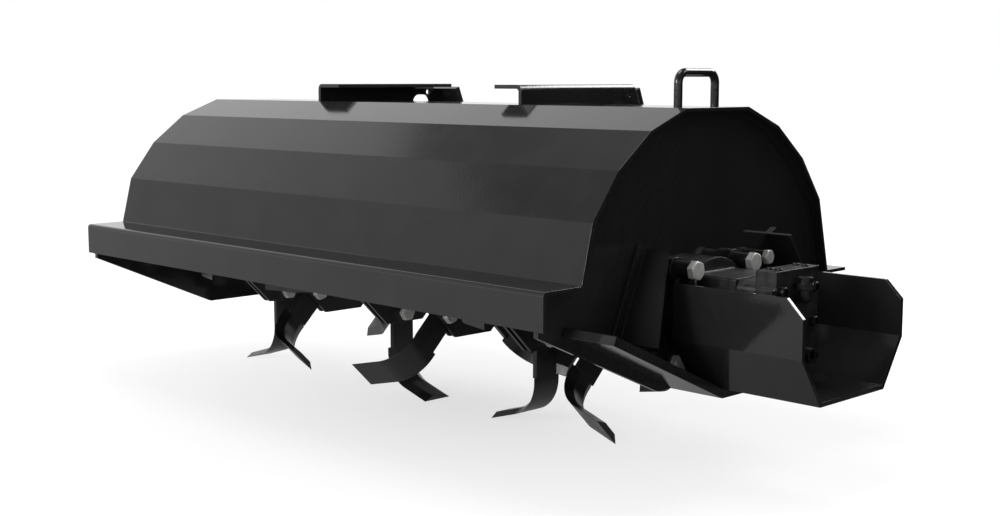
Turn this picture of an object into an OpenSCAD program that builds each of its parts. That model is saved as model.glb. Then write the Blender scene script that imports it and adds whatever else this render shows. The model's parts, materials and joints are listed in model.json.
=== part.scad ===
// Hydraulic tiller for a compact loader. X runs along the tine rotor, the
// motor end is +X, the loader stands behind it at +Y, and Z is up from the
// ground that the parked machine stands on with its tines.

/* [Hood] */
// Length of the hood sheet along the rotor
hood_len = 1118; // [1000:1:1400]
// Thickness of the hood sheet
hood_t = 5; // [4:0.5:6]
// Height of the top of the hood above the rotor's axis
hood_rise = 278; // [270:0.5:290]
// Width of the flat on top of the hood
hood_top_w = 139; // [130:1:160]
// Length of each of the four facets down a side
facet_len = 79.7; // [78:0.1:84]
// Slope of the first facet below level
slope_1 = 21; // [18:0.5:24]
// Slope of the second facet
slope_2 = 37.5; // [35:0.5:40]
// Slope of the third facet
slope_3 = 52.5; // [50:0.5:55]
// Slope of the fourth facet
slope_4 = 76; // [72:0.5:80]
// Depth of the level ledge in front of the facets
front_ledge = 69; // [50:1:90]
// Height of the skirt that hangs from the front ledge
skirt_h = 50.5; // [40:0.5:60]
// How much lower the rear facet ends than the front one
rear_drop = 33; // [20:1:40]
// Depth of the ledge behind the rear facet
rear_ledge = 50; // [30:1:70]

/* [Ends] */
// Thickness of an end plate
end_t = 8; // [6:0.5:10]
// How far the hood sheet overhangs each end plate
hood_over = 13; // [8:0.5:20]
// Depth of the level foot of an end plate below the rotor's axis
foot_drop = 101.5; // [92:0.5:107]
// Half length of the level foot
foot_half = 78; // [60:1:100]
// How much further the end plate's own foot runs, above the shoe's slopes
foot_margin = 29; // [20:1:32]
// Half length of the shoe from front edge to middle
shoe_half = 298; // [280:1:310]
// Height of the shoe's tip above its sole
shoe_lift = 100; // [90:0.5:105]
// Width of a skid shoe
shoe_w = 86; // [70:1:100]
// Thickness of a skid shoe
shoe_t = 12; // [8:0.5:14]
// Thickness of the brace plates on the motor end
brace_t = 5; // [4:0.5:8]
// Width of a brace's flange against the end plate
brace_flange = 16; // [12:0.5:20]
// Width of a brace at its top
brace_top_w = 40; // [20:1:50]
// Width of a brace at its foot
brace_foot_w = 66; // [50:1:76]
// Depth of a brace's foot below the rotor's axis
brace_drop = 22; // [10:1:26]
// Height of a brace's top above the motor guard's rim
brace_above = 45; // [30:1:50]

/* [Rotor] */
// Distance of the rotor's axis ahead of the hood's middle
rotor_ahead = 20; // [10:1:25]
// Outside diameter of the rotor tube
tube_d = 89; // [76:1:92]
// Wall of the rotor tube
tube_wall = 8; // [5:0.5:10]
// Clearance between the rotor and each end plate
rotor_gap = 8; // [6:0.5:12]
// Number of tine flanges
flange_n = 6; // [4:1:6]
// Distance of the first and last flange from the ends of the hood
flange_inset = 136.5; // [130:0.5:145]
// Half width across the flats of a flange's eight-sided plates
flange_half = 94; // [92:1:98]
// Thickness of each of a flange's two plates
plate_t = 6; // [5:0.5:8]
// Turn of the first flange's left tine, forward from straight down
park_turn = 0; // [0:0.5:3]
// Turn from one flange to the next
flange_turn = 45; // [40:1:45]

/* [Tines] */
// Thickness of a tine
tine_t = 8; // [7:0.5:9]
// Width of a tine's shank
shank_w = 44; // [40:1:46]
// Width of a tine's blade over its sharp edges
blade_w = 55; // [50:1:60]
// Width of the bevel along each edge of a blade
bevel_w = 14; // [10:0.5:17]
// Radius from the rotor's axis at which a tine starts to bend
bend_start = 145; // [138:0.5:147]
// Inside radius of a tine's bend
bend_r = 50; // [45:1:54]
// Length of the straight blade past the bend
blade_len = 54.5; // [45:0.5:58]
// Length of the bevelled stretch ahead of the bend
bevel_lead = 7; // [3:0.5:10]
// Radius at which the tine bolts sit
tine_bolt_r = 78; // [74:1:80]
// Diameter of the tine bolts
tine_bolt_d = 16; // [14:1:18]

/* [Shaft] */
// Diameter of the rotor's stub shafts
stub_d = 40; // [30:1:50]
// Radial running clearance of a stub shaft in its bearing
stub_gap = 0.05; // [0.03:0.01:0.1]
// Outside diameter of a bearing housing
housing_d = 130; // [110:1:150]
// Depth of a bearing housing
housing_h = 26; // [20:1:30]

/* [Motor] */
// Half width of the motor guard
guard_half_w = 119; // [110:1:125]
// Height of the guard's upright walls
guard_wall_h = 75; // [60:1:80]
// Height of the guard's rim above the rotor's axis
guard_rim = 50.5; // [44:0.5:58]
// Gap between the end plate and the guard
guard_gap = 33; // [30:1:36]
// Length of the guard
guard_len = 200; // [190:1:230]
// Thickness of the guard's sheet
guard_t = 6; // [4:0.5:8]
// Chamfer on the guard's outer top corners
guard_chamfer = 24; // [15:1:30]
// Width of the motor's body
motor_w = 96; // [90:1:98]
// Height of the motor's body
motor_h = 115; // [105:1:118]
// Half of the square on which the motor's bolts sit
motor_bolt_half = 65; // [63:0.5:66]
// Diameter of the motor's bolts
motor_bolt_d = 16; // [14:1:18]
// Radius of the motor's round mounting flange
mount_r = 76; // [70:1:77]
// Thickness of the mounting flange
mount_t = 30; // [24:1:31]
// Radius of the four ears on the mounting flange
ear_r = 15; // [14:0.5:16]
// Thickness of the ears
ear_t = 12; // [10:1:14]
// Length of the sleeves under the two upper bolts
sleeve_len = 27; // [20:1:30]
// Radius of those sleeves
sleeve_r = 11.5; // [10.5:0.5:11.5]
// Length of the motor's front housing
motor_front_len = 66; // [56:1:70]
// Length of the motor's gear ring
motor_ring_len = 31; // [24:1:36]
// Length of the motor's end cover
motor_cover_len = 32; // [28:1:36]
// Height of the end cover's valve block above the motor's body
valve_rise = 15; // [8:1:20]
// Radius of the oil ports
port_r = 8.5; // [7:0.5:10]
// Distance of each oil port above and below the rotor's axis
port_up = 38; // [32:1:42]

/* [Loader mount] */
// Distance across the outsides of the two loader brackets
mount_span = 494; // [440:1:600]
// Thickness of a bracket
bracket_t = 6; // [5:0.5:8]
// Width of the flange turned in along a bracket's top
bracket_flange = 57; // [40:1:70]
// Height of the brackets above the hood
bracket_h = 29.5; // [25:0.5:35]
// Distance of the brackets' front edge ahead of the hood's middle
bracket_front = 66; // [55:1:68]
// Distance of the brackets' top rear corner behind the hood's middle
bracket_back = 195; // [188:1:205]
// Length of the slot cut in each bracket
slot_len = 42; // [34:1:44]
// Height of that slot
slot_h = 28; // [20:1:30]
// Distance of the slot's middle behind the hood's middle
slot_y = 167; // [164:1:168]
// Depth of the slot's middle below the bracket's top
slot_low = 34; // [32:0.5:35]
// Width of the coupler plate on each bracket
coupler_w = 64; // [60:1:90]
// Thickness of the coupler plates
coupler_t = 10; // [8:0.5:12]
// How much lower the coupler plates end than the brackets
coupler_low = 9; // [4:1:20]
// Distance of the coupler plates' feet behind the rear facet's lip
coupler_back = 22; // [16:1:30]
// Radius of the holes for the loader's locking pins
lock_r = 13; // [10:0.5:15]
// Height of the locking pin holes above the rear ledge
lock_rise = 48; // [40:1:60]
// Thickness of the cross bar that joins the coupler plates
cross_t = 8; // [6:0.5:10]
// Height of the cross bar
cross_h = 76; // [60:1:90]
// Height of the cross bar's lower edge up the coupler plates
cross_up = 138; // [120:1:145]

/* [Hose hoop] */
// Diameter of the hoop's bar
hoop_d = 12; // [10:0.5:14]
// Width between the hoop's legs, middle to middle
hoop_w = 82; // [70:1:90]
// Height of the hoop above the hood
hoop_h = 53; // [45:1:60]
// Radius of the hoop's bends at the middle of the bar
hoop_bend = 14; // [12:1:18]
// Distance of the hoop from the end of the hood
hoop_in = 38; // [30:1:60]

/* [Hidden] */
$fn = 64;
fit = 0.3;              // seat of one piece beside another
slopes = [slope_1, slope_2, slope_3, slope_4];

// a blade turns away from its shank until it drops 7 for every 24 that it runs out
bend_turn = atan2(24, 7);
// how far a tine reaches from the axis and from its flange's middle
bend_out = bend_r + tine_t;
tip_z = bend_start + bend_out * sin(bend_turn) + blade_len * cos(bend_turn);
tip_x = bend_r + tine_t / 2 - bend_out * cos(bend_turn) + blade_len * sin(bend_turn);
tip_r = norm([tip_z, blade_w / 2]);
// rotor's axis above the ground: the lowest corner of the tines parked on it
half_lap = atan(blade_w / 2 / tip_z);
axis_z = tip_r * max([for (k = [0:flange_n - 1], j = [0:3], s = [-1, 1])
    cos(park_turn - flange_turn * k + 90 * j + s * half_lap)]);

// side view of the hood, as (y, z) about its middle at the height of the rotor's axis
function drop_y(i) = i < 0 ? hood_top_w / 2 : drop_y(i - 1) + facet_len * cos(slopes[i]);
function drop_z(i) = i < 0 ? hood_rise : drop_z(i - 1) - facet_len * sin(slopes[i]);
lip_y = drop_y(3);
lip_z = drop_z(3);
rear_lip_y = lip_y + rear_drop / tan(slope_4);
rear_lip_z = lip_z - rear_drop;
skirt_y = lip_y + front_ledge;
skirt_z = lip_z - skirt_h;
back_y = rear_lip_y + rear_ledge;
hood_path = concat(
    [[-skirt_y, skirt_z], [-skirt_y, lip_z]],
    [for (i = [3:-1:-1]) [-drop_y(i), drop_z(i)]],
    [for (i = [-1:2]) [drop_y(i), drop_z(i)]],
    [[rear_lip_y, rear_lip_z], [back_y, rear_lip_z]]);

function unit(v) = v / norm(v);
function left_of(a, b) = let (d = unit(b - a)) [-d[1], d[0]];
// the point a distance t to the left of corner i of path p, mitred
function mitred(p, i, t) =
    i == 0 ? p[0] + t * left_of(p[0], p[1]) :
    i == len(p) - 1 ? p[i] + t * left_of(p[i - 1], p[i]) :
    let (a = left_of(p[i - 1], p[i]), b = left_of(p[i], p[i + 1]))
    p[i] + t * (a + b) / (1 + a * b);
function inset(p, t) = [for (i = [0:len(p) - 1]) mitred(p, i, t)];
function reversed(p) = [for (i = [len(p) - 1:-1:0]) p[i]];

// a (y, z) outline made into a plate from x0 to x1
module plate_x(outline, x0, x1)
    translate([x0, 0, 0]) rotate([90, 0, 90]) linear_extrude(x1 - x0) polygon(outline);
// a sheet of thickness t on the right of path p, from x0 to x1
module sheet_x(p, t, x0, x1) plate_x(concat(p, reversed(inset(p, -t))), x0, x1);
// a round bar or bore along X
module round_x(d, x0, x1)
    translate([x0, 0, 0]) rotate([0, 90, 0]) cylinder(d = d, h = x1 - x0);
// a hexagon along X, as a nut or a bolt head
module hex_x(across, x0, x1)
    translate([x0, 0, 0]) rotate([0, 90, 0]) cylinder(d = across / cos(30), h = x1 - x0, $fn = 6);
// from the hood's middle, at the height of the rotor's axis, to the middle of the footprint
module in_hood() translate([-mid_x, -mid_y, axis_z]) children();
// from the rotor's axis to the middle of the footprint
module on_axis() in_hood() translate([0, -rotor_ahead, 0]) children();

end_out = hood_len / 2 - hood_over;     // outer face of an end plate
end_in = end_out - end_t;               // inner face
inner_path = inset(hood_path, -hood_t);
shoe_slope = atan(shoe_lift / (shoe_half - foot_half));
shoe_path = [[-shoe_half, shoe_lift - foot_drop], [-foot_half, -foot_drop],
    [foot_half, -foot_drop], [shoe_half, shoe_lift - foot_drop]];
bevel_z = skirt_z - 9;                  // lower front corner of an end plate
mid_x = (guard_gap + guard_len - shoe_w) / 2;
mid_y = (back_y - skirt_y) / 2;

// ---- hood and ends -------------------------------------------------------

module hood() color("dimgray") in_hood()
    sheet_x(hood_path, hood_t, -hood_len / 2, hood_len / 2);

module end_outline()
    polygon(concat(
        [[-skirt_y + hood_t, bevel_z]],
        [for (i = [1:len(inner_path) - 2]) inner_path[i]],
        [[rear_lip_y - 12, bevel_z], [foot_half + foot_margin, -foot_drop], [-foot_half - foot_margin, -foot_drop]]));

module end_plate(bore) translate([end_in, 0, 0]) rotate([90, 0, 90]) linear_extrude(end_t)
    difference() {
        end_outline();
        translate([-rotor_ahead, 0]) circle(d = bore);
    }
module end_plate_left() color("gray") in_hood() mirror([1, 0, 0]) end_plate(stub_d + 12);
module end_plate_right() color("gray") in_hood() end_plate(stub_d + 12);

module shoe() sheet_x(shoe_path, -shoe_t, end_out, end_out + shoe_w);
module shoe_left() color("silver") in_hood() mirror([1, 0, 0]) shoe();
module shoe_right() color("silver") in_hood() shoe();

// ---- braces at the motor end ----------------------------------------------

brace_top_z = guard_rim + brace_above;
brace_lean = 23;                        // lean of a brace from upright
brace_top_y = guard_half_w + 23;
brace_h = (brace_top_z + brace_drop) / cos(brace_lean);

// one brace: a web square to the end plate and a flange along it, leaning
module brace() translate([end_out, -brace_top_y, brace_top_z]) rotate([-brace_lean, 0, 0])
    translate([0, 0, -brace_h]) {
        translate([0, brace_t, 0]) rotate([90, 0, 0]) linear_extrude(brace_t)
            polygon([[0, 0], [brace_foot_w, 0], [brace_top_w, brace_h], [0, brace_h]]);
        translate([0, -brace_flange, 0]) cube([brace_t, brace_flange + brace_t, brace_h]);
    }
module brace_front() color("slategray") in_hood() brace();
module brace_rear() color("slategray") in_hood() mirror([0, 1, 0]) brace();

// ---- motor guard ------------------------------------------------------------

// an open trough that stands on the shoe's level part
guard_in = end_out + guard_gap;
guard_out = guard_in + guard_len;
guard_floor_z = shoe_t - foot_drop;
guard_floor_half = foot_half - shoe_t * tan(shoe_slope / 2);
guard_path = [[-guard_half_w, guard_rim], [-guard_half_w, guard_rim - guard_wall_h],
    [-guard_floor_half, guard_floor_z], [guard_floor_half, guard_floor_z],
    [guard_half_w, guard_rim - guard_wall_h], [guard_half_w, guard_rim]];

module motor_guard() color("darkslategray") in_hood() difference() {
    sheet_x(guard_path, -guard_t, guard_in, guard_out);
    translate([guard_out, 0, guard_rim]) rotate([0, 45, 0])
        cube([guard_chamfer * sqrt(2), 2 * guard_half_w + 10, guard_chamfer * sqrt(2)], center = true);
}

// ---- bearings ----------------------------------------------------------------

// left end: a closed bearing housing bolted on the outside of the end plate
module bearing() color("dimgray") on_axis() mirror([1, 0, 0]) difference() {
    union() {
        round_x(housing_d, end_out, end_out + 10);
        round_x(stub_d + 34, end_out, end_out + housing_h);
    }
    round_x(stub_d + 2 * stub_gap, end_out - 1, end_out + housing_h - 6);
}

// ---- hydraulic motor ------------------------------------------------------------

mount_out = end_out + mount_t;
motor_x1 = mount_out + motor_front_len;
motor_x2 = motor_x1 + motor_ring_len;
motor_x3 = motor_x2 + motor_cover_len;
ear_out = end_out + ear_t;
head_t = motor_bolt_d * 0.65;

// a block along X with rounded edges
module rounded_x(w, h, r, x0, x1) translate([x0, 0, 0]) rotate([90, 0, 90]) linear_extrude(x1 - x0) union() {
    square([w, h - 2 * r], center = true);
    square([w - 2 * r, h], center = true);
    for (a = [-1, 1], b = [-1, 1]) translate([a * (w / 2 - r), b * (h / 2 - r)]) circle(r = r);
}
// the motor's bolts above the axis (b = 1) or below it (b = -1)
module at_motor_bolts(b) for (a = [-1, 1])
    translate([0, a * motor_bolt_half, b * motor_bolt_half]) children();

// the motor's cast flange, round with four ears, and the rotor's bearing in it
module motor_flange() color("gray") on_axis() difference() {
    union() {
        round_x(mount_r * 2, end_out, mount_out);
        for (b = [-1, 1]) at_motor_bolts(b) round_x(ear_r * 2, end_out, ear_out);
        for (a = [45, 135]) rotate([a, 0, 0]) translate([end_out, -motor_bolt_half * sqrt(2), -ear_r])
            cube([ear_t, motor_bolt_half * 2 * sqrt(2), ear_r * 2]);
    }
    round_x(stub_d + 2 * stub_gap, end_out - 1, mount_out - 6);
    for (b = [-1, 1]) at_motor_bolts(b) round_x(motor_bolt_d + 1, end_out - 1, ear_out + 1);
}
module sleeves() color("dimgray") on_axis() at_motor_bolts(1) difference() {
    round_x(sleeve_r * 2, ear_out, ear_out + sleeve_len);
    round_x(motor_bolt_d + 1, ear_out - 1, ear_out + sleeve_len + 1);
}
// the upper bolts hold their sleeves, the lower ones lie under the guard's end
module motor_bolts() color("lightgray") on_axis() for (b = [-1, 1]) at_motor_bolts(b) {
    seat = ear_out + (b > 0 ? sleeve_len : 0);
    round_x(motor_bolt_d, end_out, seat + 1);
    hex_x(motor_bolt_d * 1.5, seat, seat + head_t);
}
module motor_front() color("darkgray") on_axis() rounded_x(motor_w, motor_h, 3, mount_out, motor_x1);
module motor_ring() color("gray") on_axis() rounded_x(motor_w - 2, motor_h - 3, 12, motor_x1, motor_x2);

// end cover: a valve block on top, a relief block in front and an oil port above
// and below the axis in its end
module motor_cover() color("darkgray") on_axis() difference() {
    union() {
        rounded_x(motor_w, motor_h, 4, motor_x2, motor_x3);
        translate([motor_x2, -motor_w / 2, 0]) cube([motor_cover_len, motor_w, motor_h / 2 + valve_rise]);
        translate([motor_x2 + 8, -motor_w / 2 - 9, -30]) cube([motor_cover_len - 8, motor_w / 2, 80]);
    }
    at_ports() translate([0, 0, -16]) cylinder(r = port_r, h = 17);
}
// the ports' places: b = 1 above the axis, b = -1 below it, both facing +X
module at_port(b) translate([motor_x3, 0, b * port_up]) rotate([0, 90, 0]) children();
module at_ports() for (b = [-1, 1]) at_port(b) children();
elbow_out = 12;                         // from the end cover to the elbow's middle
fitting_len = 25;                       // from there to its open end

// the open end of a fitting, with its hexagon
module fitting_end() difference() {
    union() {
        cylinder(r = port_r + 1, h = fitting_len);
        translate([0, 0, fitting_len - 16]) cylinder(d = 20 / cos(30), h = 8, $fn = 6);
    }
    translate([0, 0, 6]) cylinder(r = port_r - 2.5, h = fitting_len);
}
// an elbow turned up in the upper port and a straight adapter in the lower one
module fittings() color("silver") on_axis() {
    at_ports() translate([0, 0, -15]) cylinder(r = port_r - fit, h = 16);
    at_port(1) {
        cylinder(r = port_r + 1, h = elbow_out);
        translate([0, 0, elbow_out]) {
            sphere(r = port_r + 1);
            rotate([0, -90, 0]) fitting_end();
        }
    }
    at_port(-1) fitting_end();
}

// ---- loader brackets ----------------------------------------------------------------

bracket_top = hood_rise + bracket_h;
bracket_out = mount_span / 2;
coupler_y = rear_lip_y + coupler_back;  // rear edge of a bracket at its foot
lean = atan((coupler_y - bracket_back) / (bracket_top - rear_lip_z));
bracket_outline = concat(
    [[-bracket_front, bracket_top], [-bracket_front, hood_rise]],
    [for (i = [-1:2]) [drop_y(i), drop_z(i)]],
    [[rear_lip_y, rear_lip_z], [coupler_y, rear_lip_z], [bracket_back, bracket_top]]);
slot_z = bracket_top - slot_low;
eye_r = 5;                              // small eye behind the slot

module bracket() {
    difference() {
        plate_x(bracket_outline, bracket_out - bracket_t, bracket_out);
        for (a = [-1, 1]) translate([0, slot_y + a * (slot_len - slot_h) / 2, slot_z])
            round_x(slot_h, bracket_out - bracket_t - 1, bracket_out + 1);
        translate([bracket_out - bracket_t - 1, slot_y - (slot_len - slot_h) / 2, slot_z - slot_h / 2])
            cube([bracket_t + 2, slot_len - slot_h, slot_h]);
        translate([0, bracket_back - 12, bracket_top - bracket_t - eye_r - 4])
            round_x(eye_r * 2, bracket_out - bracket_t - 1, bracket_out + 1);
    }
    translate([bracket_out - bracket_flange, -bracket_front, bracket_top - bracket_t])
        cube([bracket_flange, bracket_front + bracket_back, bracket_t]);
}
module bracket_left() color("gray") in_hood() mirror([1, 0, 0]) bracket();
module bracket_right() color("gray") in_hood() bracket();

// coupler plate on a bracket's sloped rear edge, with a locking pin hole
coupler_len = (bracket_top - coupler_low - rear_lip_z) / cos(lean);
module coupler() translate([bracket_out - coupler_w, coupler_y, rear_lip_z]) rotate([lean, 0, 0])
    difference() {
        translate([0, 0, coupler_t * tan(lean)]) cube([coupler_w, coupler_t, coupler_len - coupler_t * tan(lean)]);
        translate([coupler_w / 2, -1, lock_rise]) rotate([-90, 0, 0]) cylinder(r = lock_r, h = coupler_t + 2);
    }
module coupler_left() color("silver") in_hood() mirror([1, 0, 0]) coupler();
module coupler_right() color("silver") in_hood() coupler();
module cross_bar() color("dimgray") in_hood()
    translate([-bracket_out + bracket_t, coupler_y, rear_lip_z]) rotate([lean, 0, 0])
        translate([0, -cross_t, cross_up]) cube([2 * (bracket_out - bracket_t), cross_t, cross_h]);

// ---- hose hoop --------------------------------------------------------------------------

module hoop_half() {
    translate([0, hoop_w / 2, 0]) cylinder(d = hoop_d, h = hoop_h - hoop_d / 2 - hoop_bend);
    translate([0, hoop_w / 2 - hoop_bend, hoop_h - hoop_d / 2 - hoop_bend]) rotate([0, -90, 0])
        rotate_extrude(angle = 90) translate([hoop_bend, 0]) circle(d = hoop_d);
}
module hose_hoop() color("black") in_hood() translate([hood_len / 2 - hoop_in, 0, hood_rise]) {
    hoop_half();
    mirror([0, 1, 0]) hoop_half();
    translate([0, 0, hoop_h - hoop_d / 2]) rotate([90, 0, 0])
        cylinder(d = hoop_d, h = hoop_w - 2 * hoop_bend, center = true);
}

// ---- rotor ----------------------------------------------------------------------------------

collar_t = 6;
tube_end = end_in - rotor_gap - collar_t;
flange_pitch = (hood_len - 2 * flange_inset) / (flange_n - 1);
flange_x = [for (k = [0:flange_n - 1]) flange_inset - hood_len / 2 + k * flange_pitch];
seat_x = tine_t / 2 + plate_t;          // outer face of a flange, from its middle

module rotor_tube() color("dimgray") on_axis() difference() {
    round_x(tube_d, -tube_end, tube_end);
    round_x(tube_d - 2 * tube_wall, -tube_end - 1, tube_end + 1);
}
// a stub shaft with the plug and collar that close the tube's end
module stub(s, tip) mirror([s < 0 ? 1 : 0, 0, 0]) {
    round_x(tube_d - 2 * tube_wall - 2 * fit, tube_end - 20, tube_end + 1);
    round_x(tube_d - 8, tube_end, tube_end + collar_t);
    round_x(stub_d, tube_end, end_out + tip - 8);
}
module stub_left() color("silver") on_axis() stub(-1, housing_h);
module stub_right() color("silver") on_axis() stub(1, mount_t);

// turns what hangs straight down to the place of tine j of flange k
module tine_turn(k, j) rotate([-(park_turn - flange_turn * k + 90 * j), 0, 0]) children();

// a flange: two eight-sided plates welded on the tube, with the tines between them
module tine_flange(k) color("gray") on_axis() translate([flange_x[k], 0, 0]) difference() {
    for (a = [0, 1]) mirror([a, 0, 0]) tine_turn(k, 0) translate([tine_t / 2, 0, 0])
        rotate([0, 90, 0]) rotate([0, 0, 22.5]) cylinder(r = flange_half / cos(22.5), h = plate_t, $fn = 8);
    round_x(tube_d, -seat_x - 1, seat_x + 1);
    for (j = [0:3]) tine_turn(k, j) translate([0, 0, -tine_bolt_r])
        round_x(tine_bolt_d + 1, -seat_x - 1, seat_x + 1);
}

// section of a blade, from its inner face to its outer one, with both edges
// ground to a bevel on the inside
module blade_section() polygon([[bend_r, bevel_w - blade_w / 2], [bend_out, -blade_w / 2],
    [bend_out, blade_w / 2], [bend_r, blade_w / 2 - bevel_w]]);
// a straight stretch of blade
module blade(len) rotate([-90, 0, 0]) linear_extrude(len) blade_section();

// a tine hanging down, turned out to +X: a flat shank, a bend and a blade
module tine() {
    shank_end = tube_d / 2 + fit;
    difference() {
        translate([-tine_t / 2, -shank_w / 2, bevel_lead - bend_start - 1])
            cube([tine_t, shank_w, bend_start - bevel_lead + 1 - shank_end]);
        translate([0, 0, -tine_bolt_r]) round_x(tine_bolt_d + 1, -tine_t, tine_t);
    }
    translate([tine_t / 2 + bend_r, 0, -bend_start]) rotate([-90, 0, 180]) {
        translate([0, -bevel_lead, 0]) blade(bevel_lead);
        rotate_extrude(angle = bend_turn) blade_section();
        rotate([0, 0, bend_turn]) blade(blade_len);
    }
}

// the four tines of flange k, turned left and right by turns
module tines(k) color("darkgray") on_axis() translate([flange_x[k], 0, 0])
    for (j = [0:3]) tine_turn(k, j) mirror([j % 2 == 0 ? 1 : 0, 0, 0]) tine();

// one bolt through the middle of each shank, with its head to +X
module tine_bolts() color("lightgray") on_axis() for (k = [0:flange_n - 1]) translate([flange_x[k], 0, 0])
    for (j = [0:3]) tine_turn(k, j) translate([0, 0, -tine_bolt_r]) {
        round_x(tine_bolt_d, -seat_x - 16, seat_x + 1);
        hex_x(tine_bolt_d * 1.5, seat_x, seat_x + 10);
        hex_x(tine_bolt_d * 1.5, -seat_x - 13, -seat_x);
    }

hood();
end_plate_left();
end_plate_right();
shoe_left();
shoe_right();
brace_front();
brace_rear();
motor_guard();
bearing();
motor_flange();
sleeves();
motor_bolts();
motor_front();
motor_ring();
motor_cover();
fittings();
bracket_left();
bracket_right();
coupler_left();
coupler_right();
cross_bar();
hose_hoop();
rotor_tube();
stub_left();
stub_right();
tine_flange(0);  // flange_1
tine_flange(1);  // flange_2
tine_flange(2);  // flange_3
tine_flange(3);  // flange_4
tine_flange(4);  // flange_5
tine_flange(5);  // flange_6
tines(0);  // tines_1
tines(1);  // tines_2
tines(2);  // tines_3
tines(3);  // tines_4
tines(4);  // tines_5
tines(5);  // tines_6
tine_bolts();
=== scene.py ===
# Hydraulic tiller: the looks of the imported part, in its own frame, in metres.
# X runs along the rotor to the motor end, the loader stands at +Y, Z is up.
import json
import math
import bmesh
import bpy
import numpy as np
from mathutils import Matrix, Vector


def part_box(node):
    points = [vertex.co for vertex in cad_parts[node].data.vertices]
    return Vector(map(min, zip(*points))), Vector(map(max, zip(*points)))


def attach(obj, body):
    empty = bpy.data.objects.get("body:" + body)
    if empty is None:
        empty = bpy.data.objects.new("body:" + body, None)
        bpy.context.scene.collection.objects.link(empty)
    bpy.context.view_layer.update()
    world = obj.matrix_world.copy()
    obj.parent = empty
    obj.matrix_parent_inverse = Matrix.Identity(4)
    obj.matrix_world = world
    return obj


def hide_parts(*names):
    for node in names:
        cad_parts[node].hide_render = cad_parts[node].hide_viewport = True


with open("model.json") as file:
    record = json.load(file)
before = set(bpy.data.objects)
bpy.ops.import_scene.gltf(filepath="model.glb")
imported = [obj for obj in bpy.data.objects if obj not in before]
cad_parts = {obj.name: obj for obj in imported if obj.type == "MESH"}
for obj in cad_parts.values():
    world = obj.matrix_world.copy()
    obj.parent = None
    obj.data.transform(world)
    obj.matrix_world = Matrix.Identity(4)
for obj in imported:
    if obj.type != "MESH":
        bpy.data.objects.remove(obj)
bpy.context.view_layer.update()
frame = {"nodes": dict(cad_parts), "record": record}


# ---- sheet metal: hood, ends, shoes, braces, guard, loader brackets, hoop ----------
# Laser-cut and brake-formed mild steel sheet and plate, welded into one frame, then
# powder coated in gloss black. The coat pulls thin over the edges and sets with a
# fine orange peel.
MM = 0.001
NOISE_LOW, NOISE_HIGH = 0.35, 0.65  # a noise texture mostly stays between these
painted_nodes = [s["node"] for s in frame["record"]["subparts"] if s["material_slot"] == "painted"]


def linear(hex6):
    """sRGB hex to linear: c / 12.92 below 0.04045, else ((c + 0.055) / 1.055) ** 2.4."""
    c = [int(hex6[i:i + 2], 16) / 255 for i in (0, 2, 4)]
    return [x / 12.92 if x <= 0.04045 else ((x + 0.055) / 1.055) ** 2.4 for x in c] + [1.0]


def add(tree, kind, inputs=(), **settings):
    """Adds a node, sets its properties, and gives each named input a value, another node's
    output, or another node, which stands for its first output."""
    n = tree.nodes.new(kind)
    for k, v in settings.items():
        setattr(n, k, v)
    for k, v in dict(inputs).items():
        if isinstance(v, bpy.types.Node):
            v = v.outputs[0]
        if isinstance(v, bpy.types.NodeSocket):
            tree.links.new(v, n.inputs[k])
        else:
            n.inputs[k].default_value = v
    return n


def finish(name, low, high, rough, mottle, peel, depth, edge, metal=0.0):
    """A finish on Object coordinates. Colour and roughness run together from their first value to
    their second by a noise whose patches are mottle metres wide. A second noise, of patches peel
    metres wide, lifts the surface by up to depth metres. Edges look rounded by edge metres."""
    m = bpy.data.materials.new(name)
    m.use_nodes = True
    tree = m.node_tree
    shader = tree.nodes["Principled BSDF"]
    shader.inputs["Metallic"].default_value = metal
    place = add(tree, "ShaderNodeTexCoord").outputs["Object"]
    cloud = add(tree, "ShaderNodeTexNoise", {"Vector": place, "Scale": 1 / mottle, "Detail": 3.0})
    tone = add(tree, "ShaderNodeMapRange",
               {"Value": cloud.outputs["Fac"], "From Min": NOISE_LOW, "From Max": NOISE_HIGH})
    colour = add(tree, "ShaderNodeMix", {0: tone, 6: linear(low), 7: linear(high)}, data_type="RGBA")
    tree.links.new(colour.outputs[2], shader.inputs["Base Color"])
    gloss = add(tree, "ShaderNodeMapRange",
                {"Value": cloud.outputs["Fac"], "From Min": NOISE_LOW, "From Max": NOISE_HIGH,
                 "To Min": rough[0], "To Max": rough[1]})
    tree.links.new(gloss.outputs[0], shader.inputs["Roughness"])
    grain = add(tree, "ShaderNodeTexNoise", {"Vector": place, "Scale": 1 / peel, "Detail": 2.0})
    rounded = add(tree, "ShaderNodeBevel", {"Radius": edge}, samples=6)
    bump = add(tree, "ShaderNodeBump", {"Height": grain.outputs["Fac"], "Strength": 1.0,
                                        "Distance": depth, "Normal": rounded})
    tree.links.new(bump.outputs[0], shader.inputs["Normal"])
    return m


def coat(nodes, material):
    """Gives the CAD nodes a material in place of their own."""
    for n in nodes:
        mesh = frame["nodes"][n].data
        mesh.materials.clear()
        mesh.materials.append(material)


# Nearly black and glossy, so each facet shows what it faces as a clear sheen. The orange
# peel is really 1 to 3 mm across; it is drawn at 4 mm, so that it shows where a
# reflection ends.
powder_coat = finish("gloss black powder coat", "252526", "292929", (0.07, 0.10),
                     mottle=60 * MM, peel=4 * MM, depth=0.08 * MM, edge=1.2 * MM)
coat(painted_nodes, powder_coat)


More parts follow.
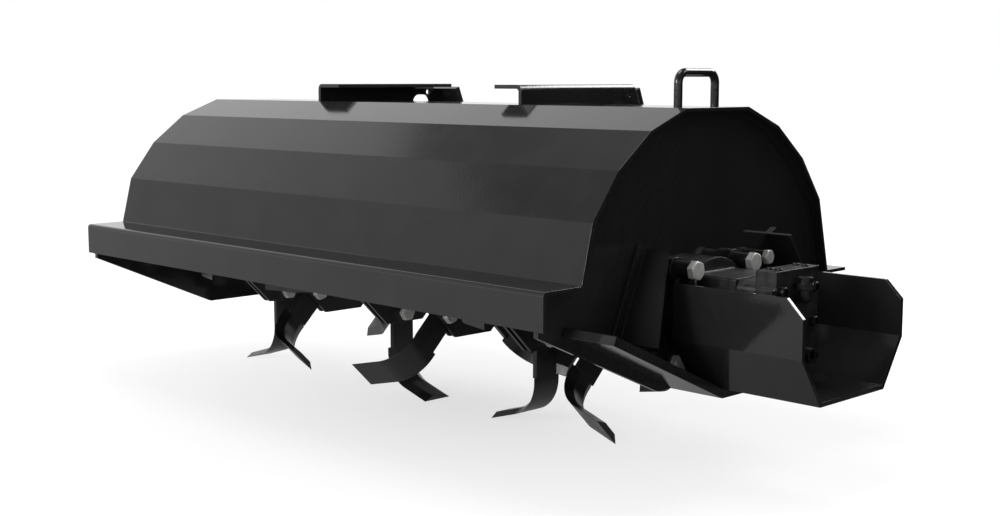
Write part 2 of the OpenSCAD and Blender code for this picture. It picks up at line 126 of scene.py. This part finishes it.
# ---- bends of the hood and the loader brackets -------------------------------------
# The hood's front ledge and skirt are one sheet, and so are each bracket's top flange
# and side plate. They are folded on a press brake over a small radius, so their
# corners are round and catch the light.
def bent(node, along, folds):
    """A copy of a sheet with its folds rounded: doubles are merged and flat faces joined, then
    each fold's edge is bevelled by its radius, as a share of the widest. The folds run along one
    axis (0 is X, 1 is Y), and each is (place on the other level axis, height, radius)."""
    same, near, flat = 0.01 * MM, 0.1 * MM, math.radians(0.5)
    across = 1 - along
    widest = max(radius for _, _, radius in folds)
    mesh = frame["nodes"][node].data.copy()
    work = bmesh.new()
    work.from_mesh(mesh)
    bmesh.ops.remove_doubles(work, verts=work.verts, dist=same)
    bmesh.ops.dissolve_limit(work, angle_limit=flat, verts=work.verts, edges=work.edges)
    weight = work.edges.layers.float.new("bevel_weight_edge")
    for e in work.edges:
        for place, height, radius in folds:
            if all(abs(v.co[across] - place) < near and abs(v.co.z - height) < near for v in e.verts):
                e[weight] = radius / widest
    work.to_mesh(mesh)
    work.free()
    o = bpy.data.objects.new("bent_" + node, mesh)
    bpy.context.scene.collection.objects.link(o)
    fold = o.modifiers.new("bend", "BEVEL")
    fold.limit_method, fold.offset_type = "WEIGHT", "OFFSET"
    fold.width, fold.segments = widest, 6
    fold.use_clamp_overlap = False
    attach(o, "frame")
    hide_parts(node)


hood_t, hood_bend = 5 * MM, 6 * MM  # thickness, and the radius outside the bend
hood_mesh = frame["nodes"]["hood"].data
hood_points = np.empty(3 * len(hood_mesh.vertices), np.float32)
hood_mesh.vertices.foreach_get("co", hood_points)
hood_points = hood_points.reshape(-1, 3).astype(float)
skirt_y = hood_points[:, 1].min()
ledge_z = hood_points[hood_points[:, 1] < skirt_y + MM, 2].max()


def ledge_end(height):
    """How far back the ledge's face at a height reaches, where the hood's slope begins."""
    return hood_points[np.abs(hood_points[:, 2] - height) < 0.1 * MM, 1].max()


bent("hood", 0, [(skirt_y, ledge_z, hood_bend),
                 (skirt_y + hood_t, ledge_z - hood_t, hood_bend - hood_t),
                 (ledge_end(ledge_z), ledge_z, hood_bend - hood_t),
                 (ledge_end(ledge_z - hood_t), ledge_z - hood_t, hood_bend)])

bracket_t, bracket_bend = 6 * MM, 9 * MM  # thickness, and the radius outside the bend
for node, side, inwards in (("bracket_left", 0, 1), ("bracket_right", 1, -1)):
    corner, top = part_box(node)[side].x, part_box(node)[1].z
    bent(node, 1, [(corner, top, bracket_bend),
                   (corner + inwards * bracket_t, top - bracket_t, bracket_bend - bracket_t)])


# ---- rotor tube, stub shafts and tine flanges --------------------------------------
# Heavy steel tube with a stub shaft at each end and eight-sided plates welded round
# it in pairs. It is brush painted black after welding.
rotor_nodes = [n for n in frame["record"]["behaviour"]["bodies"]["rotor"]
               if n.startswith(("rotor_", "stub_", "flange_"))]
# Satin, and less even than the powder coat: its sheen drifts over 40 mm, where the
# brush left more paint.
black_steel = finish("black painted rotor steel", "151516", "1c1c1d", (0.34, 0.44),
                     mottle=40 * MM, peel=4 * MM, depth=0.08 * MM, edge=1.0 * MM)
coat(rotor_nodes, black_steel)


# ---- tines -------------------------------------------------------------------------
# Spring steel strip, its edges ground to a bevel, bent hot and dipped in black
# paint. Each is clamped between the two plates of its flange by one bolt.
tine_nodes = [n for n in frame["nodes"] if n.startswith("tines_")]
# The dip has more sheen than the brushed paint, and the forging scale under it shows
# through as a faint wave, 7 mm long.
tine_steel = finish("black dipped spring steel", "161617", "1e1e1f", (0.28, 0.38),
                    mottle=25 * MM, peel=7 * MM, depth=0.15 * MM, edge=0.8 * MM)
coat(tine_nodes, tine_steel)


# ---- tine bolts --------------------------------------------------------------------
# M16 zinc-plated hexagon bolts, one through each tine's shank and both plates of
# its flange, with a washer under the nut.
def across_flats(turn, across):
    """How far a hexagon's side lies from its middle at each turn: half its width over the
    cosine of the turn from the middle of the nearest side."""
    return across / 2 / np.cos((turn + math.pi / 6) % (math.pi / 3) - math.pi / 6)


def turned(rings, sides=48):
    """A closed shape round +Z. Each ring is (height, limit, width of hexagon or 0), and reaches
    to the hexagon or the round limit, whichever is nearer; the first and last close on the axis."""
    turn = np.arange(sides) * 2 * math.pi / sides
    rows = []
    for height, limit, across in rings:
        reach = np.full(sides, limit)
        if across:
            reach = np.minimum(reach, across_flats(turn, across))
        rows.append(np.stack([reach * np.cos(turn), reach * np.sin(turn), np.full(sides, height)], 1))
    bottom, top = [0, 0, rings[0][0]], [0, 0, rings[-1][0]]
    points = np.concatenate(rows + [[bottom], [top]])
    row, side = np.meshgrid(np.arange(len(rings) - 1), np.arange(sides), indexing="ij")
    a = (row * sides + side).ravel()
    b = (row * sides + (side + 1) % sides).ravel()
    walls = np.stack([a, b, b + sides, a + sides], 1).tolist()
    s = np.arange(sides)
    n = (s + 1) % sides
    last = (len(rings) - 1) * sides
    low = np.stack([n, s, np.full(sides, len(points) - 2)], 1).tolist()
    high = np.stack([last + s, last + n, np.full(sides, len(points) - 1)], 1).tolist()
    return points, walls + low + high


def hexagon(across, base, height):
    """Rings of a bolt head or nut: a round face, six flats, and a 30 degree chamfer
    that takes the corners off down to the crown, a circle of 0.95 of the width."""
    face_h, crown_share, slope = 0.5 * MM, 0.95, math.pi / 6
    corner, crown = across / 2 / math.cos(math.pi / 6), across * crown_share / 2
    fall = (corner - crown) * math.tan(slope)
    chamfer = [(base + height - fall * (1 - f), corner + (crown - corner) * f, across)
               for f in (0, 0.33, 0.67, 1)]
    return [(base, crown, 0), (base + face_h, crown, 0), (base + face_h, corner, across)] + chamfer


def washer(outside, base, thick):
    """Rings of a flat washer with its upper edge broken."""
    e = 0.3 * MM
    return [(base, outside / 2, 0), (base + thick - e, outside / 2, 0), (base + thick, outside / 2 - e, 0)]


def piece(name, parts, body, material):
    """One object from several (points, faces, places), where each place is (origin, direction of
    the part's +Z, direction of its +X), and points are carried there as arrays."""
    points, faces, start = [], [], 0
    for shape, walls, places in parts:
        for origin, up, right in places:
            z = np.array(up, float) / np.linalg.norm(up)
            x = np.array(right, float) - z * np.dot(right, z)
            x /= np.linalg.norm(x)
            points.append(np.asarray(origin) + shape @ np.stack([x, np.cross(z, x), z]))
            faces += [[i + start for i in f] for f in walls]
            start += len(shape)
    mesh = bpy.data.meshes.new(name)
    mesh.from_pydata(np.concatenate(points).tolist(), [], faces)
    mesh.materials.append(material)
    o = bpy.data.objects.new(name, mesh)
    bpy.context.scene.collection.objects.link(o)
    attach(o, body)
    return o


# Pale grey with a soft sheen. It is only partly metallic here, so that the small heads
# stay bright where they face a dark side of the studio.
zinc = finish("zinc plated steel", "dcdcd8", "f0f0ec", (0.36, 0.46),
              mottle=6 * MM, peel=1.5 * MM, depth=0.01 * MM, edge=0.4 * MM, metal=0.3)
bolt_d, bolt_across, head_h, nut_h = 16 * MM, 24 * MM, 10 * MM, 13 * MM
washer_w, washer_t, tail, tail_edge = 28 * MM, 2 * MM, 3 * MM, 1 * MM
bolt_r = 78 * MM  # from the rotor's axis
flanges, flange_step = 6, 45  # degrees from each flange to the next
tines_each, tine_step = 4, 90  # degrees from each tine to the next
axis = frame["record"]["behaviour"]["joints"][0]["pos_m"]
heads, nuts = [], []
for k in range(flanges):
    low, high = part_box(f"flange_{k + 1}")
    for j in range(tines_each):
        turn = math.radians(flange_step * k - tine_step * j)
        spoke = np.array([0, math.sin(turn), -math.cos(turn)])
        foot = np.array([0, axis[1], axis[2]]) + spoke * bolt_r
        heads.append((foot + [high.x, 0, 0], (1, 0, 0), spoke))
        nuts.append((foot + [low.x, 0, 0], (-1, 0, 0), spoke))
thread = [(nut_h, bolt_d / 2, 0), (nut_h + tail - tail_edge, bolt_d / 2, 0),
          (nut_h + tail, bolt_d / 2 - tail_edge, 0)]
bolt_head = turned(hexagon(bolt_across, 0, head_h), sides=36)
bolt_nut = turned(washer(washer_w, 0, washer_t) + hexagon(bolt_across, washer_t, nut_h - washer_t)
                  + thread, sides=36)
bolts = piece("hex_bolts_of_tines", [(*bolt_head, heads), (*bolt_nut, nuts)], "rotor", zinc)
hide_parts("tine_bolts")


# ---- hydraulic motor ---------------------------------------------------------------
# An orbital motor in grey iron castings: a mounting flange, a front housing, a
# gear ring and an end cover, sprayed black. Its fittings are black zinc-plated steel.
cast_nodes = [s["node"] for s in frame["record"]["subparts"] if s["material_slot"] == "cast"]
# The thin paint keeps the casting's grain, 1.8 mm across, and shines unevenly.
iron = finish("black sprayed cast iron", "1a1a1b", "252526", (0.32, 0.46),
              mottle=12 * MM, peel=1.8 * MM, depth=0.12 * MM, edge=1.6 * MM)
coat(cast_nodes, iron)
# Dark, with a metal's soft sheen. Plate has no grain of its own, so its bump is slight.
black_zinc = finish("black zinc plated steel", "1b1b1c", "2a2a2b", (0.3, 0.4),
                    mottle=5 * MM, peel=1.5 * MM, depth=0.01 * MM, edge=0.5 * MM, metal=0.4)
coat(["fittings"], black_zinc)


# ---- cap screws and plug of the motor ----------------------------------------------
# Black zinc-plated socket screws clamp the motor through its end cover and hold the
# valve block on top. A hexagon plug with a seal closes a bore in the block's side.
def socket_screw(width, height, key):
    """A cap screw: a round head with a broken edge and a hexagon socket of key's width sunk in
    its top, down to 0.45 of its height. The socket's limit lies outside its corners, which
    are 0.577 of key from the middle, so the whole hexagon shows."""
    r, edge, rim, limit, floor_h = width / 2, 0.6 * MM, key * 0.62, key * 0.6, height * 0.45
    return turned([(0, r, 0), (height - edge, r, 0), (height, r - edge, 0),
                   (height, rim, 0), (height, limit, key), (floor_h, limit, key)], sides=36)


cover_low, cover_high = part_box("motor_cover")
front_low, front_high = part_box("motor_front")
screw_in, screw_w, screw_h, screw_key = 12 * MM, 14 * MM, 7 * MM, 8 * MM
top_w, top_h, top_key = 10 * MM, 2.5 * MM, 5 * MM
top_in, top_aside = (9 * MM, 23 * MM), 30 * MM  # from the cover's inner face and from the axis
end_screws = [((cover_high.x, y, z), (1, 0, 0), (0, 0, 1))
              for y in (front_low.y + screw_in, front_high.y - screw_in)
              for z in (front_low.z + screw_in, front_high.z - screw_in)]
end_screws += [((cover_high.x, y, axis[2]), (1, 0, 0), (0, 0, 1))
               for y in (front_low.y + screw_in, front_high.y - screw_in)]
top_screws = [((cover_low.x + x, axis[1] + y, cover_high.z), (0, 0, 1), (1, 0, 0))
              for x in top_in for y in (-top_aside, top_aside)]
piece("cap_screws_of_motor", [(*socket_screw(screw_w, screw_h, screw_key), end_screws),
                              (*socket_screw(top_w, top_h, top_key), top_screws)],
      "frame", black_zinc)

plug_across, plug_h, seal_w, seal_t = 17 * MM, 8 * MM, 20 * MM, 1.5 * MM
plug_in, plug_up = 20 * MM, 25 * MM  # from the cover's inner face, and above the axis
plug = turned(washer(seal_w, 0, seal_t) + hexagon(plug_across, seal_t, plug_h), sides=36)
plugs = [((cover_low.x + plug_in, cover_low.y, axis[2] + plug_up), (0, -1, 0), (1, 0, 0))]
piece("plugs_of_valve", [(*plug, plugs)], "frame", black_zinc)


# ---- motor bolts -------------------------------------------------------------------
# Four M16 zinc-plated bolts hold the motor. The upper two stand on turned black
# sleeves, and the lower two on the flange itself, turned a little less when tight.
seat_low, seat_high = (corner.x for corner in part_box("sleeves"))
head_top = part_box("motor_bolts")[1].x
square = 65 * MM  # from the axis, level and up
upper = [((seat_high, axis[1] + y, axis[2] + square), (1, 0, 0), (0, 0.3, 1)) for y in (-square, square)]
lower = [((seat_low, axis[1] + y, axis[2] - square), (1, 0, 0), (0, 0.1, 1)) for y in (-square, square)]
motor_head = turned(hexagon(bolt_across, 0, head_top - seat_high))
motor_heads = piece("hex_bolts_of_motor", [(*motor_head, upper + lower)], "frame", zinc)
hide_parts("motor_bolts")


# ---- painted highlight of the motor ------------------------------------------------
# A thin rim where the front housing meets its mounting flange, standing 1.2 mm proud of
# the housing. Its pale colour is a painted highlight: the bright line that the flange's edge catches from
# the overhead light.
pad_r, proud, pad_t, pad_sunk = 12 * MM, 1.2 * MM, 2.5 * MM, 0.2 * MM
half_w = (front_high.y - front_low.y) / 2 + proud
half_h = (front_high.z - front_low.z) / 2 + proud
quarter = np.linspace(0, math.pi / 2, 9)
# a rectangle with round corners: each corner is a quarter circle about its own middle
rim = np.concatenate([np.stack([y * (half_w - pad_r) + pad_r * np.cos(quarter + q * math.pi / 2),
                                z * (half_h - pad_r) + pad_r * np.sin(quarter + q * math.pi / 2)], 1)
                      for q, (y, z) in enumerate(((1, 1), (-1, 1), (-1, -1), (1, -1)))])
count = len(rim)
pad_points = np.concatenate([np.column_stack([np.full(count, x), axis[1] + rim[:, 0], axis[2] + rim[:, 1]])
                             for x in (front_low.x - pad_sunk, front_low.x + pad_t)])
pad_walls = [(i, (i + 1) % count, (i + 1) % count + count, i + count) for i in range(count)]
pad_walls += [tuple(range(count))[::-1], tuple(range(count, 2 * count))]
# Pale grey with a soft sheen, a painted highlight with no marks of its own.
bright = finish("pale iron as a painted highlight", "b0b0ac", "c6c6c2", (0.3, 0.4),
                mottle=8 * MM, peel=2 * MM, depth=0.01 * MM, edge=0.3 * MM, metal=0.5)
as_made = [((0, 0, 0), (0, 0, 1), (1, 0, 0))]
piece("painted_highlight_rim_of_motor", [(pad_points, pad_walls, as_made)], "frame", bright)


# ---- small bolt of the end plate ---------------------------------------------------
# Behind the motor a smaller zinc-plated bolt goes into the end plate through a
# turned black sleeve of its own, which keeps its head clear of the plate.
end_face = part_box("end_plate_right")[1].x
behind, above = 131 * MM, 64 * MM  # from the axis
small = [((end_face, axis[1] + behind, axis[2] + above), (1, 0, 0), (0, 0, 1))]
sleeve_r, sleeve_h, sleeve_edge = 9 * MM, 18.5 * MM, 0.5 * MM
small_across, small_h = 19 * MM, 8 * MM
small_sleeve = turned([(0, sleeve_r, 0), (sleeve_h - sleeve_edge, sleeve_r, 0),
                       (sleeve_h, sleeve_r - sleeve_edge, 0)], sides=36)
piece("sleeve_of_small_bolt", [(*small_sleeve, small)], "frame", iron)
small_head = turned(hexagon(small_across, sleeve_h, small_h))
piece("small_bolt_of_end_plate", [(*small_head, small)], "frame", zinc)


# ---- bearing at the free end -------------------------------------------------------
# A flanged iron housing on four zinc-plated bolts with washers. A steel grease nipple,
# screwed into its boss at a slant, feeds the ball bearing inside.
bearing_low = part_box("bearing")[0]
flange_t, boss_r = 10 * MM, 37 * MM
flange_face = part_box("end_plate_left")[0].x - flange_t
circle_r = 52 * MM  # the four bolts lie on this circle
seat_w, seat_t, m10_across, m10_h = 22 * MM, 2 * MM, 17 * MM, 7 * MM
spots = [((flange_face, axis[1] + circle_r * math.cos(a), axis[2] + circle_r * math.sin(a)),
          (-1, 0, 0), (0, 0, 1)) for a in (math.pi / 4 + i * math.pi / 2 for i in range(4))]
bearing_bolt = turned(washer(seat_w, 0, seat_t) + hexagon(m10_across, seat_t, m10_h), sides=36)
piece("hex_bolts_of_bearing", [(*bearing_bolt, spots)], "frame", zinc)
# the nipple's hexagon, then the heights and radii of its neck and ball
key_across, key_base, key_h = 8 * MM, -1 * MM, 5 * MM
neck = [(h * MM, r * MM, 0) for h, r in ((4, 1.8), (8, 1.8), (9, 2.9), (11, 2.6), (12.5, 1.2))]
nipple = turned(hexagon(key_across, key_base, key_h) + neck, sides=24)
nipple_in, slant = 10 * MM, (-0.3, 0, 1)
nipple_at = (bearing_low.x + nipple_in, axis[1], axis[2] + boss_r)
piece("grease_nipple", [(*nipple, [(nipple_at, slant, (1, 0, 0))])], "frame", zinc)


# ---- studio floor ------------------------------------------------------------------
# A wide white floor. To the camera it glows white, and the glow is dimmed under the machine as a painted
# shadow; it also takes the machine's real shadow. Gloss sees it darker, as a painted shade near the middle
# and darkest towards +X and +Y, so that the low faces there mirror that painted shade rather than white.
bpy.ops.mesh.primitive_plane_add(size=200)
floor = bpy.context.object
floor.name = "studio_floor"
white = bpy.data.materials.new("white floor with painted shadow")
white.use_nodes = True
tree = white.node_tree
tree.nodes.clear()
ray = add(tree, "ShaderNodeLightPath")
spot = add(tree, "ShaderNodeTexCoord").outputs["Object"]
oval = add(tree, "ShaderNodeVectorMath", {0: spot, 1: (0.8, 1.0, 1.0)}, operation="MULTIPLY")
away = add(tree, "ShaderNodeVectorMath", {0: oval}, operation="LENGTH").outputs["Value"]
# what the camera sees: a glow dimmed near the middle as a painted shadow, and a share of the light
painted_shadow_glow = add(tree, "ShaderNodeMapRange", {"Value": away, "From Min": 0.05, "From Max": 0.9,
                                        "To Min": 0.68, "To Max": 1.0})
glow = add(tree, "ShaderNodeEmission", {"Color": (1, 1, 1, 1), "Strength": painted_shadow_glow})
share = add(tree, "ShaderNodeBsdfDiffuse", {"Color": (0.2, 0.2, 0.2, 1)})
seen = add(tree, "ShaderNodeAddShader", {0: glow, 1: share})
# what gloss and glass see: a painted shade, less near the middle, and less again towards +X and +Y
painted_shade_in_gloss = add(tree, "ShaderNodeMapRange", {"Value": away, "From Min": 0.3, "From Max": 1.2,
                                         "To Min": 0.38, "To Max": 0.60},
            interpolation_type="SMOOTHSTEP")
corner_way = add(tree, "ShaderNodeVectorMath", {0: spot, 1: (0.71, 0.71, 0)}, operation="DOT_PRODUCT")
painted_dark_corner_in_gloss = add(tree, "ShaderNodeMapRange", {"Value": corner_way.outputs["Value"], "From Min": 0.1,
                                       "From Max": 0.6, "To Min": 1.0, "To Max": 0.15})
# both painted shades together: the floor's glow as gloss and glass see it
low = add(tree, "ShaderNodeMath", {0: painted_shade_in_gloss, 1: painted_dark_corner_in_gloss}, operation="MULTIPLY")
mirrored = add(tree, "ShaderNodeEmission", {"Color": (1, 1, 1, 1), "Strength": low})
# what every other ray meets: a plain grey that sends some light back up
lit = add(tree, "ShaderNodeBsdfDiffuse", {"Color": (0.35, 0.35, 0.35, 1)})
bounced = add(tree, "ShaderNodeMath", {0: ray.outputs["Is Glossy Ray"],
                                       1: ray.outputs["Is Transmission Ray"]}, operation="MAXIMUM")
unseen = add(tree, "ShaderNodeMixShader", {0: bounced, 1: lit, 2: mirrored})
mixed = add(tree, "ShaderNodeMixShader", {0: ray.outputs["Is Camera Ray"], 1: unseen, 2: seen})
add(tree, "ShaderNodeOutputMaterial", {"Surface": mixed})
floor.data.materials.append(white)


# ---- studio walls ------------------------------------------------------------------
# A bright wall stands on the -X side, brightest towards its +Y end, and stops at a
# sharp edge under a dark ceiling. White paper runs round low down, and higher on the
# other sides. So each facet of the gloss black hood mirrors a tone of its own.
world = bpy.data.worlds.new("studio")
bpy.context.scene.world = world
world.use_nodes = True
sky = world.node_tree
way = add(sky, "ShaderNodeTexCoord").outputs["Generated"]
rise = add(sky, "ShaderNodeSeparateXYZ", {0: way}).outputs["Z"]
level = add(sky, "ShaderNodeVectorMath", {0: way, 1: (1, 1, 0)}, operation="MULTIPLY")
level = add(sky, "ShaderNodeVectorMath", {0: level}, operation="NORMALIZE")


def toward(direction, none, full, least=0.0):
    """1 where the level direction turns to the given one and least away from it, with an even
    run between the two cosines none and full."""
    turn = add(sky, "ShaderNodeVectorMath", {0: level, 1: direction}, operation="DOT_PRODUCT")
    return add(sky, "ShaderNodeMapRange", {"Value": turn.outputs["Value"], "From Min": none,
                                           "From Max": full, "To Min": least})


def between(low, high, at_low, at_high):
    """A value that runs evenly from at_low to at_high as the direction rises from low to high."""
    return add(sky, "ShaderNodeMapRange", {"Value": rise, "From Min": low, "From Max": high,
                                           "To Min": at_low, "To Max": at_high})


minus_x = toward((-0.97, -0.24, 0), none=-0.2, full=0.1)
brightest = toward((-0.914, 0.407, 0), none=0.62, full=0.96, least=0.53)
wall_tone = between(low=0.40, high=0.645, at_low=1.0, at_high=0.72)
wall_edge = between(low=0.635, high=0.655, at_low=1.0, at_high=0.0)
wall = add(sky, "ShaderNodeMath", {0: brightest, 1: wall_tone}, operation="MULTIPLY")
wall = add(sky, "ShaderNodeMath", {0: wall, 1: wall_edge}, operation="MULTIPLY")
ceiling = between(low=0.66, high=0.76, at_low=0.17, at_high=0.30)
room = add(sky, "ShaderNodeMath", {0: wall, 1: ceiling}, operation="MAXIMUM")
room = add(sky, "ShaderNodeMath", {0: minus_x, 1: room}, operation="MULTIPLY")
horizon = between(low=0.07, high=0.13, at_low=1.0, at_high=0.05)
other_sides = toward((0.8, 0.6, 0), none=-0.5, full=-0.2)
paper_edge = between(low=0.19, high=0.24, at_low=1.0, at_high=0.0)
paper = add(sky, "ShaderNodeMath", {0: other_sides, 1: paper_edge}, operation="MULTIPLY")
paper = add(sky, "ShaderNodeMath", {0: horizon, 1: paper}, operation="MAXIMUM")
around = add(sky, "ShaderNodeMath", {0: room, 1: paper}, operation="MAXIMUM")
sky.links.new(around.outputs[0], sky.nodes["Background"].inputs["Color"])
sky.nodes["Background"].inputs["Strength"].default_value = 1.0


# ---- studio lamps ------------------------------------------------------------------
# Four softboxes on stands: one overhead, one in front, one behind, and a small one
# beside the motor end that brings out the edges of the guard.
def softbox(name, place, at, size, watts):
    """A rectangular lamp at place, turned to face a point, with its width, height and power."""
    lamp = bpy.data.lights.new(name, "AREA")
    lamp.shape, lamp.energy = "RECTANGLE", watts
    lamp.size, lamp.size_y = size
    o = bpy.data.objects.new(name, lamp)
    o.location = place
    o.rotation_euler = (Vector(at) - Vector(place)).to_track_quat("-Z", "Y").to_euler()
    bpy.context.scene.collection.objects.link(o)


softbox("overhead softbox", place=(0, -0.2, 2.7), at=(0, 0, 0.3), size=(1.4, 1.2), watts=26)
softbox("front softbox", place=(-0.4, -3.6, 1.2), at=(0, -0.2, 0.25), size=(1.6, 1.2), watts=76)
softbox("rear softbox", place=(0.65, 2.4, 2.1), at=(0.4, 0, 0.4), size=(1.6, 1.2), watts=75)
softbox("side softbox", place=(2.1, 1.65, 2.15), at=(0.6, -0.1, 0.3), size=(1.0, 1.0), watts=12)


# ---- studio card -------------------------------------------------------------------
# A low card covered in black felt stands beside the motor end, out of the camera's
# sight, and keeps the floor's white off the gloss of the end plate.
card_away, card_half, card_h = 0.8, 0.7, 0.7
aside = np.array([0.6, 0.79])  # the level way from the end plate to the card
middle = np.array([end_face, 0]) + card_away * aside
along = np.array([-aside[1], aside[0]]) * card_half
near_end, far_end = middle - along, middle + along
corners = np.array([(*near_end, 0), (*far_end, 0), (*far_end, card_h), (*near_end, card_h)])
card_mesh = bpy.data.meshes.new("black_card")
card_mesh.from_pydata(corners.tolist(), [], [(0, 1, 2, 3)])
card = bpy.data.objects.new("black_card", card_mesh)
bpy.context.scene.collection.objects.link(card)
felt = bpy.data.materials.new("black felt")
felt.use_nodes = True
nap = felt.node_tree.nodes["Principled BSDF"].inputs
nap["Base Color"].default_value = linear("050505")
nap["Roughness"].default_value = 1.0
nap["Specular IOR Level"].default_value = 0.0
card_mesh.materials.append(felt)
card.visible_camera = False


# ---- camera ------------------------------------------------------------------------
# A 50 mm lens on a 36 mm sensor, 2.2 m from the middle, off the front corner at the
# motor end. It looks slightly down.
lens_mm, sensor_mm = 50, 36
look_down, look_round = math.radians(7.35), math.radians(45.45)
cam = bpy.data.cameras.new("camera")
cam.lens, cam.sensor_width, cam.sensor_fit = lens_mm, sensor_mm, "HORIZONTAL"
eye = bpy.data.objects.new("camera", cam)
bpy.context.scene.collection.objects.link(eye)
eye.location = (1.6297, -1.5384, 0.5322)
eye.rotation_euler = (math.radians(90) - look_down, 0, look_round)
bpy.context.scene.camera = eye
bpy.context.scene.view_settings.view_transform = "Standard"
